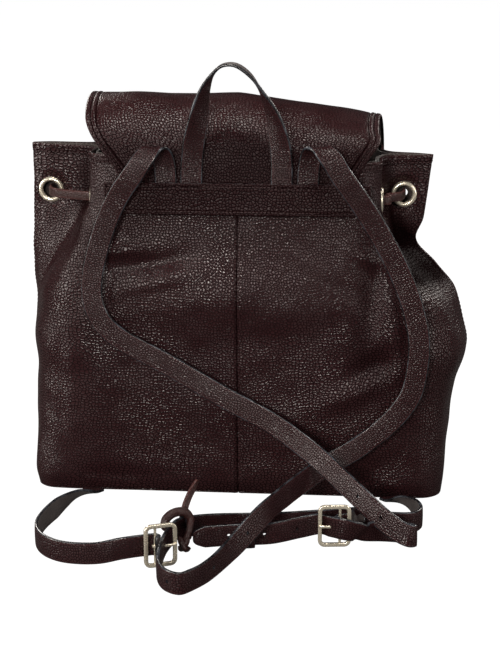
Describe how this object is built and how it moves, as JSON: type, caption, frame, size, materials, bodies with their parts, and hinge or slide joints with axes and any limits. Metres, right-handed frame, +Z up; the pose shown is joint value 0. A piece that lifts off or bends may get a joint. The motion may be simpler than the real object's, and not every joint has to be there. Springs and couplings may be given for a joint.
{
  "type": "drawstring flap backpack",
  "caption": "Slouching leather drawstring backpack with a front flap, top handle and two buckled shoulder straps, standing on its base.",
  "frame": {"origin": "centre of the base's underside, where the bag stands", "axes": "+Z up, -Y towards the wearer's back (the side with the shoulder straps), +X to the right as seen from that side"},
  "size_m": [0.3632, 0.3562, 0.3529],
  "materials": {
    "body_leather": "pebbled, soft sheen, dark oxblood",
    "strap_leather": "pebbled with painted black edges",
    "lace_leather": "smooth, reddish brown",
    "lining_cloth": "woven, matt",
    "board": "pressed fibre",
    "pale_gold": "polished pale gold plate"
  },
  "bodies": {
    "bag": {"back_panel_left": "body_leather", "back_panel_right": "body_leather", "front_panel": "body_leather", "base_panel": "body_leather", "base_board": "board", "lining": "lining_cloth", "lining_floor": "lining_cloth", "inner_pocket": "lining_cloth", "back_band": "body_leather", "flap_back": "body_leather", "shoulder_strap_left": "strap_leather", "shoulder_strap_right": "strap_leather", "short_strap_left": "strap_leather", "short_strap_right": "strap_leather", "magnet_socket": "pale_gold", "drawstring": "lace_leather", "drawstring_tail_left": "lace_leather", "drawstring_tail_right": "lace_leather", "drawstring_end_left": "pale_gold", "drawstring_end_right": "pale_gold", "eyelet_back_ridge_left": "pale_gold", "eyelet_back_ear_left": "pale_gold", "eyelet_front_ear_left": "pale_gold", "eyelet_front_ridge_left": "pale_gold", "eyelet_front_centre_left": "pale_gold", "eyelet_back_ridge_right": "pale_gold", "eyelet_back_ear_right": "pale_gold", "eyelet_front_ear_right": "pale_gold", "eyelet_front_ridge_right": "pale_gold", "eyelet_front_centre_right": "pale_gold"},
    "flap": {"flap_cover": "body_leather", "flap_lining": "lining_cloth", "magnet_stud": "pale_gold"},
    "handle": {"top_handle": "strap_leather"},
    "frame_left": {"buckle_frame_left": "pale_gold"},
    "frame_right": {"buckle_frame_right": "pale_gold"},
    "prong_left": {"buckle_prong_left": "pale_gold"},
    "prong_right": {"buckle_prong_right": "pale_gold"},
    "loop_left": {"keeper_left": "strap_leather"},
    "loop_right": {"keeper_right": "lace_leather", "tie_end": "lace_leather"},
    "slider": {"drawstring_slider": "strap_leather"}
  },
  "joints": [
    {"name": "flap_fold", "type": "hinge", "parent": "bag", "child": "flap", "pos_m": [0, -0.031, 0.3213], "axis": [1, 0, 0], "range_deg": [0, 130]},
    {"name": "handle_fold", "type": "hinge", "parent": "bag", "child": "handle", "pos_m": [0, -0.0696, 0.2612], "axis": [1, 0, 0], "range_deg": [0, 90]},
    {"name": "frame_left_swing", "type": "hinge", "parent": "bag", "child": "frame_left", "pos_m": [-0.04505, -0.22703, 0.0169], "axis": [0, 0, 1], "range_deg": [-4, 4]},
    {"name": "frame_right_swing", "type": "hinge", "parent": "bag", "child": "frame_right", "pos_m": [0.08747, -0.17452, 0.0169], "axis": [0, 0, 1], "range_deg": [-4, 4]},
    {"name": "prong_left_lift", "type": "hinge", "parent": "frame_left", "child": "prong_left", "pos_m": [-0.04505, -0.22703, 0.0169], "axis": [0, 0, 1], "range_deg": [-12, 0]},
    {"name": "prong_right_lift", "type": "hinge", "parent": "frame_right", "child": "prong_right", "pos_m": [0.08747, -0.17452, 0.0169], "axis": [0, 0, 1], "range_deg": [0, 12]},
    {"name": "loop_left_slide", "type": "slide", "parent": "bag", "child": "loop_left", "axis": [0.9801, 0.1987, 0], "range_m": [-0.005, 0.005]},
    {"name": "loop_right_slide", "type": "slide", "parent": "bag", "child": "loop_right", "axis": [0.5403, 0.8415, 0], "range_m": [-0.0025, 0.001]},
    {"name": "slider_slide", "type": "slide", "parent": "bag", "child": "slider", "axis": [0, 0, 1], "range_m": [-0.022, 0.006]}
  ]
}
